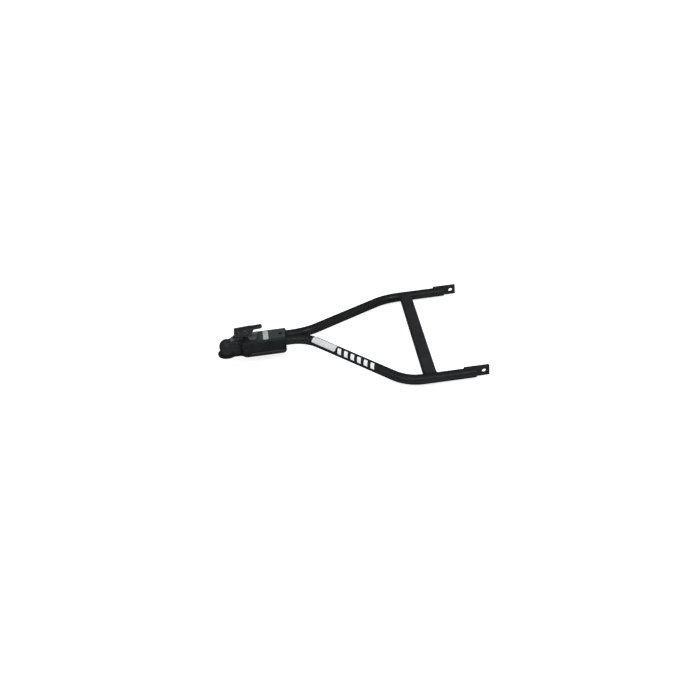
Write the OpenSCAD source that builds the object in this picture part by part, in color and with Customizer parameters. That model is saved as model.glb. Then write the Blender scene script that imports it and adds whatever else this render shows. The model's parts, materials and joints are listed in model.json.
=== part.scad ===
// A-frame tow bar: two bent tubes, a crossbar, two pin lugs and a ball coupler with a lever latch.
// Millimetres. The origin is the centre of the hitch ball in the closed coupler.
// +X runs rearward to the pin lugs, +Z is up, and the left leg is at -Y.

/* [Tubes] */
// outside diameter of both frame tubes
tube_od = 38.1; // [35:0.1:41]
// wall of both frame tubes
tube_wall = 3.2; // [2.4:0.1:4]
// space between the two tubes where they lie side by side
tube_gap = 0.5; // [0.3:0.1:3]
// distance between the axes of the two legs
leg_spacing = 609.6; // [560:0.1:680]
// height of the front tube axes over the leg axes
rise = 63.5; // [40:0.5:80]
// centre-line radius of every bend
bend_radius = 165; // [120:1:170]
// station of the front bends
front_bend_x = 311; // [310:1:330]
// station of the rear bends
rear_bend_x = 659; // [640:1:660]
// front end of the tubes inside the coupler
tube_front_x = 102; // [98:1:140]
// rear end of the tubes
tube_end_x = 912; // [895:1:925]
// how much each face of the wall draws in around a bend
bend_thinning = 0.2; // [0.15:0.05:0.4]

/* [Crossbar] */
// station of the crossbar's middle
crossbar_x = 748; // [745:1:800]
// side of the square crossbar
crossbar_w = 44.45; // [38:0.05:48]
// wall of the crossbar
crossbar_wall = 3.2; // [2.4:0.1:4]
// outer corner radius of the crossbar
crossbar_corner = 4.5; // [3.5:0.5:6]
// height of the crossbar's top over the leg axes
crossbar_top = 18; // [16:0.5:18.5]

/* [Pin lugs] */
// length of each lug
lug_length = 94; // [84:1:104]
// height of each lug
lug_h = 41.3; // [38:0.1:45]
// thickness of each lug
lug_t = 9.5; // [8:0.5:12]
// diameter of the pin hole
lug_hole_d = 16.7; // [12:0.1:20]
// distance from the pin hole to the lug's end
lug_edge = 20; // [16:1:24]
// height of the pin hole over the lug's lower edge
lug_hole_up = 19.05; // [17:0.05:22]
// length of lug that stands out of the tube
lug_reach = 50; // [44:1:54]

/* [Coupler] */
// diameter of the hitch ball the socket takes
ball_d = 50.8; // [47.6:0.1:52]
// free play around the ball
ball_play = 0.5; // [0.3:0.1:1]
// steel thickness of the housing
shell = 4; // [3:0.5:5]
// height of the dome over the flat roof
dome_stand = 1.6; // [1:0.1:3]
// rear end of the housing
housing_end_x = 231.6; // [222:0.1:240]
// depth of the housing under the ball centre
housing_drop = 32; // [30:0.5:36]
// width of the turned-out rim
rim_w = 6; // [4:0.5:8]
// height of the rim's lip along the sides
rim_h = 10; // [8:0.5:12]
// width of the rim around the nose
nose_rim_w = 10; // [6:0.5:12]
// half width of the waist
waist_hw = 25.5; // [25:0.5:29]
// length of the flare from the waist to the body
flare_l = 21; // [18:0.5:24]
// distance from the end of the flare to the jaw's hinge
flare_lead = 7; // [5:0.5:9]
// how far the rim's own flare runs on behind the housing's
rim_lag = 11; // [8:0.5:13]
// corner radius of the housing's roof edges
roof_corner = 9; // [7:0.5:12]
// outer radius of the rear lower corners
heel_corner = 16; // [10:1:20]
// height of the rim on the rear edges
rear_rim_h = 34.5; // [20:0.5:40]
// diameter of the hole at the rear of the roof
roof_hole_d = 12.7; // [8:0.1:14]
// distance from that hole to the housing's end
roof_hole_edge = 19; // [15:0.5:24]

/* [Latch] */
// station of the latch stem
stem_x = 50; // [48:0.5:52]
// diameter of the latch stem
stem_d = 12.7; // [11:0.1:13]
// drop of the stem when the lever stands up
stem_drop = 6.5; // [5:0.1:7]
// height from the cam plate to the lever's pin
cam_h = 19.5; // [18.5:0.5:21]
// height of the cam plate over the roof
cam_plate_t = 12.4; // [9:0.1:14]
// height of the cam plate's front lip over the roof
cam_plate_lip = 5; // [3:0.5:7]
// reach of the cam plate in front of the stem
cam_plate_nose = 31; // [28:0.5:33]
// reach of the cam plate behind the stem
cam_plate_tail = 24; // [22:0.5:24]
// diameter of the lever's pin
lever_pin_d = 7.5; // [7:0.1:8]
// outside width of the lever over its cheeks
lever_w = 26; // [25:0.5:30]
// thickness of the lever's steel
lever_t = 3; // [2.5:0.5:3.5]
// height of the lever's back over its pin
lever_top = 10.5; // [10.5:0.5:13]
// length of the lever behind its pin
lever_reach = 98; // [90:1:110]
// length of the lever's cheeks behind the trigger's pin
cheek_reach = 34; // [30:1:38]
// length of the lever's wide part behind the trigger's pin
lever_shoulder = 14; // [12:0.5:16]
// depth of the handle
handle_h = 10.5; // [9:0.5:12]
// width of the handle
handle_w = 19; // [16:0.5:22]
// rise of the handle's end over the lever's back at its pin
handle_rise = 6.4; // [2:0.1:10]

/* [Under-jaw] */
// distance from the stem back to the jaw's hinge
jaw_back = 26; // [25:0.5:28]
// height of the jaw's hinge
jaw_hinge_z = -3; // [-4:0.5:-2]
// half width of the under-jaw
jaw_hw = 17; // [15:0.5:17]
// diameter of the jaw's hinge pin
jaw_pin_d = 9.5; // [8:0.1:10]

/* [Trigger] */
// distance from the lever's pin to the trigger's pin
trigger_back = 32; // [31:0.5:34]
// height of the lever's pin over the trigger's pin
trigger_sink = 0.5; // [0:0.1:2]
// diameter of the trigger's pin
trigger_pin_d = 6; // [5:0.1:6.5]
// depth of the trigger's toe under its pin
toe_depth = 23; // [21:0.5:23.5]
// width of the finger pad
pad_w = 56; // [40:1:58]
// length of the finger pad
pad_l = 37; // [30:1:38]
// thickness of the finger pad
pad_t = 3.5; // [2.5:0.5:4]
// fall of the finger pad from its ridge to its sides
pad_fall = 8; // [4:0.5:8]
// depth of the finger pad's ridge under the trigger's pin
pad_depth = 17.5; // [15:0.5:18]

/* [Springs] */
// wire of the latch spring
latch_wire_d = 2.4; // [2:0.1:2.6]
// curls of the latch spring
latch_turns = 4; // [3:0.5:4]
// wire of the trigger spring
trigger_wire_d = 1.2; // [1:0.1:1.3]

/* [Clearances] */
// gap between parts that are welded or rest together
seat_gap = 0.25; // [0.15:0.05:0.4]
// gap between parts that slide past each other
slide_gap = 0.3; // [0.3:0.05:0.6]
// radial gap of a pin that turns in its hole
pin_gap = 0.05; // [0.02:0.01:0.09]

/* [Hidden] */
$fn = 64;
tiny = 1;
paint = [0.06, 0.065, 0.07];
zinc = [0.62, 0.63, 0.64];
steel = [0.42, 0.43, 0.44];

// housing levels
socket_r = ball_d / 2 + ball_play;
dome_r = socket_r + shell;
roof_z = dome_r - dome_stand;
ceiling_z = roof_z - shell;
body_hw = tube_gap / 2 + tube_od + seat_gap + shell;
flare_end_x = stem_x + jaw_back - flare_lead;
flare_start_x = flare_end_x - flare_l;
rim_flare_end_x = flare_end_x + rim_lag;
neck_start_x = 4;
neck_end_x = 30;
neck_hw = 20;
neck_dip = 2.3;
neck_round = 3;
rim_start_x = 12;

// tube path
tube_r = tube_od / 2;
front_y = (tube_od + tube_gap) / 2;
front_z = ceiling_z - seat_gap - tube_r;
leg_y = leg_spacing / 2;
leg_z = front_z - rise;
path_side = norm([leg_y - front_y, rise]);
path_tilt = atan2(-rise, leg_y - front_y);
bend_angle = atan2(path_side, rear_bend_x - front_bend_x);
bend_tangent = bend_radius * tan(bend_angle / 2);
slant_length = norm([path_side, rear_bend_x - front_bend_x]) - 2 * bend_tangent;

// pin lugs
lug_end_x = tube_end_x + lug_reach;
lug_hole_x = lug_end_x - lug_edge;
lug_start_x = lug_end_x - lug_length;
lug_bottom_z = leg_z - sqrt(pow(tube_r - tube_wall, 2) - pow(lug_t / 2, 2)) + seat_gap;
lug_hole_z = lug_bottom_z + lug_hole_up;

// under-jaw levels
jaw_hinge_x = stem_x + jaw_back;
jaw_top = jaw_hinge_z + 2.5;
jaw_floor = jaw_hinge_z - 12;
jaw_cup_r = socket_r + slide_gap;
jaw_boss_r = jaw_pin_d / 2 + 4.25;
rocker_r = 9;
rocker_z = jaw_floor - slide_gap - rocker_r;
rocker_flat = rocker_z + 3.3;
nut_h = 9;
jaw_swing = stem_drop / (jaw_back + 3);

// latch levels
cam_plate_z = roof_z + cam_plate_t;
cam_plate_front = stem_x - cam_plate_nose;
cam_plate_rear = stem_x + cam_plate_tail;
cam_plate_hw = lever_w / 2 + 2;
cam_plate_corner = 6;
lever_z = cam_plate_z + slide_gap + cam_h;
cam_rate = stem_drop * 2 / PI;
lever_nose = cam_h + cam_plate_t;
lever_depth = 2 * cam_h;
handle_taper = handle_w * 0.84;
stem_hole_r = stem_d / 2 + 0.7;
eye_r = min(cam_h - stem_drop - slide_gap, lever_top - lever_t - 2 * slide_gap);
cheek_in = lever_w / 2 - lever_t;
eye_hw = cheek_in - 0.5;
washer_r = stem_d / 2 + 6.6;
seat_z = ceiling_z - 1.5;
collar_z = jaw_top + 4.1;
collar_top = collar_z + 2;

// trigger
trigger_x = stem_x + trigger_back;
trigger_z = lever_z - trigger_sink;
trigger_hw = cheek_in - 1;
trigger_ear_r = trigger_pin_d / 2 + 3.5;
pad_front = 6;
pad_corner = 14;
trigger_coil_r = trigger_pin_d / 2 + 1.7;
trigger_coil_pitch = trigger_wire_d + 0.55;
trigger_coil_turns = 3.5;
trigger_slot_hw = (trigger_coil_turns * trigger_coil_pitch + trigger_wire_d) / 2 + 0.5;

function smooth(t) = t * t * (3 - 2 * t);
function clamp01(t) = max(0, min(1, t));

// half width, roof height and roof corner of the housing at a station behind the ball
function neck_share(x) = clamp01((x - neck_start_x) / (neck_end_x - neck_start_x));
function shell_hw(x) =
    x < neck_end_x ? neck_hw + (waist_hw - neck_hw) * neck_share(x)
    : waist_hw + (body_hw - waist_hw) * smooth(clamp01((x - flare_start_x) / (flare_end_x - flare_start_x)));
function rim_hw(x) = max(shell_hw(x) + 1, waist_hw + rim_w
    + (body_hw - waist_hw) * smooth(clamp01((x - flare_start_x) / (rim_flare_end_x - flare_start_x))));
function shell_top(x) = roof_z - neck_dip * (1 - neck_share(x));
function shell_corner(x) = roof_corner + neck_round * (1 - neck_share(x));

// stations of the housing's cross-sections up to the end of the flare
flare_steps = 6;
shell_stations = concat([neck_start_x, (neck_start_x + neck_end_x) / 2, neck_end_x],
    [for (i = [0:flare_steps]) flare_start_x + i * flare_l / flare_steps]);

// outline of the housing across its length, from the left foot over the roof to the right foot
function arch(hw, top, corner, foot, steps = 6) = concat(
    [[-hw, foot]],
    [for (i = [0:steps]) let (a = i * 90 / steps)
        [-hw + corner - corner * cos(a), top - corner + corner * sin(a)]],
    [for (i = [0:steps]) let (a = i * 90 / steps)
        [hw - corner + corner * sin(a), top - corner + corner * cos(a)]],
    [[hw, foot]]);

// rectangle with rounded corners, centred
function round_box(w, h, r, steps = 5) = [for (q = [0:3]) for (i = [0:steps])
    let (a = q * 90 + i * 90 / steps)
    [(q == 0 || q == 3 ? 1 : -1) * (w / 2 - r) + r * cos(a), (q < 2 ? 1 : -1) * (h / 2 - r) + r * sin(a)]];

// points of a coil around Z, and the least gap between its curls
function coil_centre(i, rings, r, pitch) = let (a = 360 * i / rings)
    [r * cos(a), r * sin(a), pitch * i / rings];
function coil_gap(turns, rings, r, pitch, wire) = min([
    for (i = [0:turns * rings]) for (j = [i + rings / 2:turns * rings])
    norm(coil_centre(i, rings, r, pitch) - coil_centre(j, rings, r, pitch))]) - wire;

// solid between rings of points that lie at rising stations
module skin(rings) {
    n = len(rings[0]);
    m = len(rings);
    sides = [for (k = [0:m - 2]) for (j = [0:n - 1]) let (a = k * n + j, b = k * n + (j + 1) % n)
        each [[a, b, b + n], [a, b + n, a + n]]];
    polyhedron(
        points = [for (ring = rings) each ring],
        faces = concat([[for (j = [n - 1:-1:0]) j]], sides, [[for (j = [0:n - 1]) (m - 1) * n + j]]));
}

// one unbroken coil of wire around Z, standing on its lowest curl's centre
module coil(turns, r, pitch, wire, rings = 8, sides = 6) {
    skin([for (i = [0:turns * rings]) let (c = coil_centre(i, rings, r, pitch), t = 360 * i / rings)
        [for (j = [0:sides - 1]) let (a = 360 * j / sides)
            c + wire / 2 * [cos(a) * cos(t), cos(a) * sin(t), sin(a)]]]);
}

// flat shape drawn in X and Z, given a thickness across Y
module across(half) {
    rotate([90, 0, 0])
        linear_extrude(height = 2 * half, center = true)
            children();
}

// round bar across Y
module cross_rod(r, half) {
    rotate([90, 0, 0])
        cylinder(r = r, h = 2 * half, center = true);
}

// flat ring standing on z = 0
module washer(outer, inner, h) {
    difference() {
        cylinder(r = outer, h = h);
        translate([0, 0, -tiny])
            cylinder(r = inner, h = h + 2 * tiny);
    }
}

module tube_straight(length) {
    rotate([0, 90, 0])
        washer(tube_r, tube_r - tube_wall, length);
}

// bend from +X towards +Y, starting at the origin
module tube_bend() {
    translate([0, bend_radius, 0])
        rotate([0, 0, -90])
            rotate_extrude(angle = bend_angle)
                translate([bend_radius, 0])
                    difference() {
                        circle(r = tube_r - bend_thinning);
                        circle(r = tube_r - tube_wall + bend_thinning);
                    }
}

// the whole tube lies in one slanted plane: straight, bend, slant, bend back, straight
module tube_path() {
    start = front_bend_x - bend_tangent;
    translate([tube_front_x, 0, 0])
        tube_straight(start - tube_front_x);
    translate([start, 0, 0])
        tube_bend();
    translate([front_bend_x, 0, 0])
        rotate([0, 0, bend_angle])
            translate([bend_tangent, 0, 0])
                tube_straight(slant_length);
    translate([rear_bend_x + bend_tangent, path_side, 0])
        rotate([0, 0, 180])
            tube_bend();
    translate([rear_bend_x + bend_tangent, path_side, 0])
        tube_straight(tube_end_x - rear_bend_x - bend_tangent);
}

module right_tube() {
    color(paint)
        difference() {
            translate([0, front_y, front_z])
                rotate([path_tilt, 0, 0])
                    tube_path();
            translate([lug_start_x - seat_gap, leg_y - lug_t / 2 - seat_gap, leg_z])
                cube([lug_length, lug_t + 2 * seat_gap, tube_od]);
        }
}

module left_tube() {
    mirror([0, 1, 0])
        right_tube();
}

module crossbar() {
    bar_z = leg_z + crossbar_top - crossbar_w / 2;
    color(paint)
        difference() {
            translate([crossbar_x, 0, bar_z])
                across(leg_y - 6)
                    difference() {
                        polygon(round_box(crossbar_w, crossbar_w, crossbar_corner));
                        square(crossbar_w - 2 * crossbar_wall, center = true);
                    }
            for (side = [-1, 1])
                translate([crossbar_x - crossbar_w, side * leg_y, leg_z])
                    rotate([0, 90, 0])
                        cylinder(r = tube_r + seat_gap, h = 2 * crossbar_w);
        }
}

module right_lug() {
    color(paint)
        translate([0, leg_y, 0])
            across(lug_t / 2)
                difference() {
                    translate([lug_start_x, lug_bottom_z])
                        square([lug_length, lug_h]);
                    translate([lug_hole_x, lug_hole_z])
                        circle(r = lug_hole_d / 2);
                }
}

module left_lug() {
    mirror([0, 1, 0])
        right_lug();
}

// dome with a straight skirt, turned about Z
module dome(r, foot) {
    rotate_extrude()
        union() {
            intersection() {
                circle(r = r);
                square([r + tiny, r + tiny]);
            }
            translate([0, foot])
                square([r, -foot]);
        }
}

module housing_outer() {
    stations = concat(shell_stations, [housing_end_x]);
    dome(dome_r, -housing_drop);
    skin([for (x = stations)
        [for (p = arch(shell_hw(x), shell_top(x), shell_corner(x), -housing_drop)) [x, p[0], p[1]]]]);
}

module housing_inner() {
    back = shell / 2;
    foot = -housing_drop - tiny;
    stations = concat(shell_stations, [housing_end_x + tiny]);
    dome(socket_r, foot);
    skin([for (x = stations)
        [for (p = arch(shell_hw(x) - shell, shell_top(x) - shell, shell_corner(x) - shell, foot))
            [x <= neck_start_x ? 0 : x <= neck_end_x ? x : x + back, p[0], p[1]]]]);
}

// plan of the rim: the housing's outline let out by the rim's width
module rim_plan() {
    steps = 8;
    stations = concat([rim_start_x, neck_end_x],
        [for (i = [0:steps]) flare_start_x + i * (flare_l + rim_lag) / steps], [housing_end_x]);
    circle(r = dome_r + nose_rim_w);
    polygon(concat(
        [for (x = stations) [x, -rim_hw(x)]],
        [for (i = [len(stations) - 1:-1:0]) [stations[i], rim_hw(stations[i])]]));
}

// hollow under the ledge of the rim's lip, on both sides
module lip_hollow() {
    start = rim_flare_end_x + rim_h;
    for (side = [-1, 1])
        translate([start, side * (body_hw + rim_w / 2 - shell) - rim_w / 2, -housing_drop - tiny])
            cube([housing_end_x - heel_corner - shell - start, rim_w, rim_h - shell + tiny]);
}

// side outline with one rounded corner at the rear foot
module heel_outline(front, rear, foot, top, corner) {
    polygon(concat(
        [[front, top], [front, foot]],
        [for (i = [0:8]) let (a = i * 90 / 8)
            [rear - corner + corner * sin(a), foot + corner - corner * cos(a)]],
        [[rear, top]]));
}

module housing_rim() {
    foot = -housing_drop;
    front = -dome_r - nose_rim_w - 2 * tiny;
    rise_x = rim_flare_end_x + rim_h - shell;
    intersection() {
        translate([0, 0, foot])
            linear_extrude(height = rear_rim_h)
                rim_plan();
        across(body_hw + rim_w + tiny)
            difference() {
                heel_outline(-dome_r - nose_rim_w - tiny, housing_end_x, foot, foot + rear_rim_h,
                    heel_corner);
                heel_outline(front, housing_end_x - shell, foot + rim_h, foot + rear_rim_h + tiny,
                    heel_corner - shell);
                polygon([[front, foot + shell], [rim_flare_end_x, foot + shell], [rise_x, foot + rim_h],
                    [rise_x, foot + rear_rim_h], [front, foot + rear_rim_h]]);
            }
    }
}

module coupler_housing() {
    color(paint)
        difference() {
            union() {
                difference() {
                    housing_outer();
                    across(body_hw + rim_w + tiny)
                        difference() {
                            translate([housing_end_x - heel_corner, -housing_drop - tiny])
                                square([heel_corner + tiny, heel_corner + tiny]);
                            translate([housing_end_x - heel_corner, -housing_drop + heel_corner])
                                circle(r = heel_corner);
                        }
                }
                housing_rim();
            }
            housing_inner();
            lip_hollow();
            translate([stem_x, 0, 0])
                cylinder(r = stem_hole_r, h = roof_z + tiny);
            translate([housing_end_x - roof_hole_edge, 0, 0])
                cylinder(r = roof_hole_d / 2, h = roof_z + tiny);
            translate([jaw_hinge_x, 0, jaw_hinge_z])
                cross_rod(jaw_pin_d / 2 + pin_gap, body_hw + tiny);
        }
}

// saddle under the lever's cam, with a low lip and a ramp in front
module cam_plate() {
    ramp_start = cam_plate_front + 8;
    ramp_end = cam_plate_front + 17;
    lip_z = roof_z + cam_plate_lip;
    color(paint)
        difference() {
            intersection() {
                across(cam_plate_hw)
                    polygon([[cam_plate_front, shell_top(cam_plate_front)], [neck_end_x, roof_z],
                        [cam_plate_rear, roof_z], [cam_plate_rear, cam_plate_z], [ramp_end, cam_plate_z],
                        [ramp_start, lip_z + tiny], [cam_plate_front, lip_z - tiny]]);
                translate([(cam_plate_front + cam_plate_rear) / 2, 0, 0])
                    linear_extrude(height = cam_plate_z)
                        polygon(round_box(cam_plate_rear - cam_plate_front, 2 * cam_plate_hw,
                            cam_plate_corner));
            }
            translate([stem_x, 0, 0])
                cylinder(r = stem_hole_r, h = cam_plate_z + tiny);
        }
}

// rivet-like pin along Y, with a head at each end
module headed_pin(r, half, head_r, head_h) {
    rotate([90, 0, 0])
        rotate_extrude()
            polygon([[0, -half - head_h], [head_r - head_h / 2, -half - head_h], [head_r, -half - head_h / 2],
                [head_r, -half], [r, -half], [r, half], [head_r, half], [head_r, half + head_h / 2],
                [head_r - head_h / 2, half + head_h], [0, half + head_h]]);
}

module jaw_pin() {
    color(steel)
        translate([jaw_hinge_x, 0, jaw_hinge_z])
            headed_pin(jaw_pin_d / 2, body_hw + pin_gap, jaw_pin_d / 2 + 2, 2);
}

module jaw_spacers() {
    length = body_hw - shell - jaw_hw - 2 * slide_gap;
    color(steel)
        for (side = [-1, 1])
            translate([jaw_hinge_x, side * (jaw_hw + slide_gap + length / 2), jaw_hinge_z])
                rotate([90, 0, 0])
                    translate([0, 0, -length / 2])
                        washer(jaw_pin_d / 2 + 1.25, jaw_pin_d / 2 + pin_gap, length);
}

module spring_seat() {
    color(zinc)
        translate([stem_x, 0, seat_z])
            washer(washer_r, stem_hole_r, ceiling_z - seat_z);
}

module latch_spring() {
    free = seat_z - collar_top - latch_wire_d - 2 * seat_gap;
    pitch = free / latch_turns;
    radius = stem_d / 2 + latch_wire_d / 2 + 2.4;
    echo(latch_spring_gap = coil_gap(latch_turns, 8, radius, pitch, latch_wire_d));
    color(steel)
        translate([stem_x, 0, collar_top + seat_gap + latch_wire_d / 2])
            coil(latch_turns, radius, pitch, latch_wire_d);
}

module latch_stem() {
    color(zinc)
        translate([stem_x, 0, 0])
            difference() {
                union() {
                    translate([0, 0, rocker_flat - nut_h - 1.5])
                        cylinder(r = stem_d / 2, h = lever_z - rocker_flat + nut_h + 1.5);
                    translate([0, 0, lever_z])
                        cross_rod(eye_r, eye_hw);
                }
                translate([0, 0, lever_z])
                    cross_rod(lever_pin_d / 2 + pin_gap, eye_hw + tiny);
            }
}

module spring_collar() {
    color(zinc)
        translate([stem_x, 0, collar_z])
            washer(washer_r, stem_d / 2 + pin_gap, collar_top - collar_z);
}

module jaw_rocker() {
    color(steel)
        translate([stem_x, 0, rocker_z])
            difference() {
                intersection() {
                    cross_rod(rocker_r, jaw_hw - 2);
                    translate([-rocker_r, -jaw_hw, rocker_flat - rocker_z])
                        cube([2 * rocker_r, 2 * jaw_hw, rocker_r]);
                }
                cylinder(r = stem_d / 2 + pin_gap, h = rocker_r + tiny);
            }
}

module stem_nut() {
    color(zinc)
        translate([stem_x, 0, rocker_flat - nut_h])
            difference() {
                cylinder(r = 19 / 2 / cos(30), h = nut_h, $fn = 6);
                translate([0, 0, -tiny])
                    cylinder(r = stem_d / 2 + pin_gap, h = nut_h + 2 * tiny);
            }
}

module ball_jaw() {
    slot_l = stem_d + 9.3;
    toe_z = jaw_floor - 9;
    color(steel)
        difference() {
            union() {
                across(jaw_hw)
                    polygon([[16, toe_z], [30, toe_z], [33, jaw_floor], [jaw_hinge_x, jaw_floor],
                        [jaw_hinge_x, jaw_top], [16, jaw_top]]);
                translate([jaw_hinge_x, 0, jaw_hinge_z])
                    cross_rod(jaw_boss_r, jaw_hw);
            }
            sphere(r = jaw_cup_r);
            translate([stem_x - slot_l / 2, -stem_d / 2 - 0.9, jaw_floor - tiny])
                cube([slot_l, stem_d + 1.8, jaw_top - jaw_floor + 2 * tiny]);
            translate([jaw_hinge_x, 0, jaw_hinge_z])
                cross_rod(jaw_pin_d / 2 + pin_gap, jaw_hw + tiny);
        }
}

// the cam sinks in step with the lever's turn: its edge is the involute of a small circle
function cam_point(a) = let (h = cam_h - cam_rate * a * PI / 180)
    [-h * sin(a) + cam_rate * cos(a), -h * cos(a) - cam_rate * sin(a)];

// heights of the lever's back and of the handle's underside at a distance behind the pin
function lever_back(x) = lever_top + handle_rise * x / lever_reach;
function handle_under(x) = lever_back(x) - handle_h;

module lever_side() {
    lean = 1.5;
    brow = stem_drop - cam_h + lean;
    cheek_foot = 1.5 - trigger_sink - pad_depth;
    grip_start = trigger_back + cheek_reach;
    steps = 12;
    polygon(concat(
        [for (i = [0:steps]) cam_point(90 - i * 90 / steps)],
        [[trigger_back - 2, -cam_h], [trigger_back + 4, cheek_foot],
            [trigger_back + 0.38 * cheek_reach, cheek_foot + 2],
            [trigger_back + 0.62 * cheek_reach, cheek_foot + 5],
            [grip_start, handle_under(grip_start)], [lever_reach, handle_under(lever_reach)],
            [lever_reach, lever_back(lever_reach)], [brow, lever_back(brow)]]));
}

// plan of the lever, let in by a wall
module lever_plan(wall) {
    block = lever_w / 2 - wall;
    grip = handle_w / 2 - wall;
    shoulder = trigger_back + lever_shoulder;
    end = lever_reach - handle_w / 2;
    translate([-lever_nose, -block])
        square([shoulder + lever_nose, 2 * block]);
    polygon([[shoulder - tiny, -block], [shoulder, -block], [shoulder + handle_taper, -grip], [end, -grip],
        [end, grip], [shoulder + handle_taper, grip], [shoulder, block], [shoulder - tiny, block]]);
    translate([end, 0])
        circle(r = grip);
}

module latch_lever() {
    color(paint)
        translate([stem_x, 0, lever_z])
            difference() {
                intersection() {
                    across(lever_w / 2 + tiny)
                        lever_side();
                    translate([0, 0, -lever_depth])
                        linear_extrude(height = lever_depth + lever_reach)
                            lever_plan(0);
                }
                intersection() {
                    across(lever_w / 2)
                        polygon([[-lever_depth, -lever_depth], [lever_reach, -lever_depth],
                            [lever_reach, lever_back(lever_reach) - lever_t],
                            [-lever_depth, lever_back(-lever_depth) - lever_t]]);
                    translate([0, 0, -lever_depth - tiny])
                        linear_extrude(height = lever_depth + lever_reach)
                            lever_plan(lever_t);
                }
                cross_rod(lever_pin_d / 2 + pin_gap, lever_w);
                translate([trigger_back, 0, trigger_z - lever_z])
                    cross_rod(trigger_pin_d / 2 + pin_gap, lever_w);
            }
}

module lever_pin() {
    r = lever_pin_d / 2;
    head = lever_w / 2 + pin_gap;
    color(zinc)
        translate([stem_x, 0, lever_z])
            rotate([-90, 0, 0])
                rotate_extrude()
                    polygon([[0, -head - 3], [r + 1, -head - 3], [r + 2.5, -head - 1.5], [r + 2.5, -head],
                        [r, -head], [r, head + 3], [r - 1, head + 4], [0, head + 4]]);
}

module lever_pin_clip() {
    color(steel)
        translate([stem_x, lever_w / 2 + slide_gap, lever_z])
            rotate([-90, 0, 0])
                washer(lever_pin_d / 2 + 2.5, lever_pin_d / 2 + pin_gap, 1.4);
}

// side of the trigger: ears round its pin, a toe in front, and a neck back to the finger pad
module trigger_side() {
    root = -pad_depth - pad_t * 0.7;
    circle(r = trigger_ear_r);
    polygon([[-trigger_ear_r + 1, -2], [-trigger_ear_r - 0.5, 6 - toe_depth], [2 - trigger_ear_r, -toe_depth],
        [4, -toe_depth], [pad_front + 4, root], [pad_front + 12, root], [pad_front + 12, root + 1.2],
        [pad_front + 3, 7 - pad_depth], [trigger_ear_r - 0.5, 0]]);
}

// arched finger pad, highest along its middle
module finger_pad() {
    arch_r = (pow(pad_w / 2, 2) + pow(pad_fall, 2)) / (2 * pad_fall);
    translate([pad_front + pad_l / 2, 0, -pad_depth - arch_r])
        intersection() {
            rotate([0, 90, 0])
                translate([0, 0, -pad_l / 2])
                    washer(arch_r, arch_r - pad_t, pad_l);
            linear_extrude(height = arch_r + tiny)
                polygon(round_box(pad_l, pad_w, pad_corner));
        }
}

module trigger() {
    color(zinc)
        translate([trigger_x, 0, trigger_z])
            difference() {
                union() {
                    across(trigger_hw)
                        trigger_side();
                    finger_pad();
                }
                cross_rod(trigger_pin_d / 2 + pin_gap, trigger_hw + tiny);
                cross_rod(trigger_ear_r + 0.5, trigger_slot_hw);
            }
}

module trigger_pin() {
    color(steel)
        translate([trigger_x, 0, trigger_z])
            headed_pin(trigger_pin_d / 2, lever_w / 2 + pin_gap, trigger_pin_d / 2 + 1.5, 1.6);
}

module trigger_spring() {
    echo(trigger_spring_gap = coil_gap(trigger_coil_turns, 8, trigger_coil_r, trigger_coil_pitch,
        trigger_wire_d));
    color(steel)
        translate([trigger_x, trigger_coil_turns * trigger_coil_pitch / 2, trigger_z])
            rotate([90, 0, 0])
                coil(trigger_coil_turns, trigger_coil_r, trigger_coil_pitch, trigger_wire_d);
}

echo(jaw_swing_deg = jaw_swing * 180 / PI);
echo(lever_pivot = [stem_x, 0, lever_z]);
echo(jaw_hinge = [jaw_hinge_x, 0, jaw_hinge_z]);
echo(trigger_pivot = [trigger_x, 0, trigger_z]);
echo(lug_hole = [lug_hole_x, leg_y, lug_hole_z]);

left_tube();
right_tube();
crossbar();
left_lug();
right_lug();
coupler_housing();
cam_plate();
jaw_pin();
jaw_spacers();
spring_seat();
latch_spring();
latch_stem();
spring_collar();
jaw_rocker();
stem_nut();
ball_jaw();
latch_lever();
lever_pin();
lever_pin_clip();
trigger();
trigger_pin();
trigger_spring();
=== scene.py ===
"""Dressed scene of an A-frame tow bar: painted tubes, welds, plain labels and the latch."""

import json
import logging
import math
from dataclasses import dataclass, replace
from enum import Enum
from typing import Iterable, List, Mapping, Optional, Sequence, Tuple

import bpy
from mathutils import Matrix, Vector

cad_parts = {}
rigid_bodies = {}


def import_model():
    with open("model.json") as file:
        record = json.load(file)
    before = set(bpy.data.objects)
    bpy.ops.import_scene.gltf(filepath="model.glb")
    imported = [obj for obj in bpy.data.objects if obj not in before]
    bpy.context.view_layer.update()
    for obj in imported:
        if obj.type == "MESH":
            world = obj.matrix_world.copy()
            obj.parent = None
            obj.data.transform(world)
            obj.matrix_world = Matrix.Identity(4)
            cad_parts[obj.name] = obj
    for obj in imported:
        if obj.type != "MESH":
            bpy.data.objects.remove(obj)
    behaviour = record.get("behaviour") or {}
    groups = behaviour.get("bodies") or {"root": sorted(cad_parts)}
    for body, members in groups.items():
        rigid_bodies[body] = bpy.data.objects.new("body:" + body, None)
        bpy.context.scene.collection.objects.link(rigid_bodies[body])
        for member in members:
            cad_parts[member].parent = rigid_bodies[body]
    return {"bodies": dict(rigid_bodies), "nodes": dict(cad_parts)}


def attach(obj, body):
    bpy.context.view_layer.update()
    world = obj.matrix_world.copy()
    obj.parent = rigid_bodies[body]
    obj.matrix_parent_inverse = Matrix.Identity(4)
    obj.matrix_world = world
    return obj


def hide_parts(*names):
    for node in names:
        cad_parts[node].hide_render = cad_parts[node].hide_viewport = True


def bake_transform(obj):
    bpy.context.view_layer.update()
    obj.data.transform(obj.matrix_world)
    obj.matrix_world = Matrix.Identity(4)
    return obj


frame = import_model()

log = logging.getLogger("tow_bar")

Span = Tuple[float, float]
Triple = Tuple[float, float, float]
Colour = Triple
Socket = bpy.types.NodeSocket
Paint = bpy.types.Material
Piece = bpy.types.Object

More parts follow.
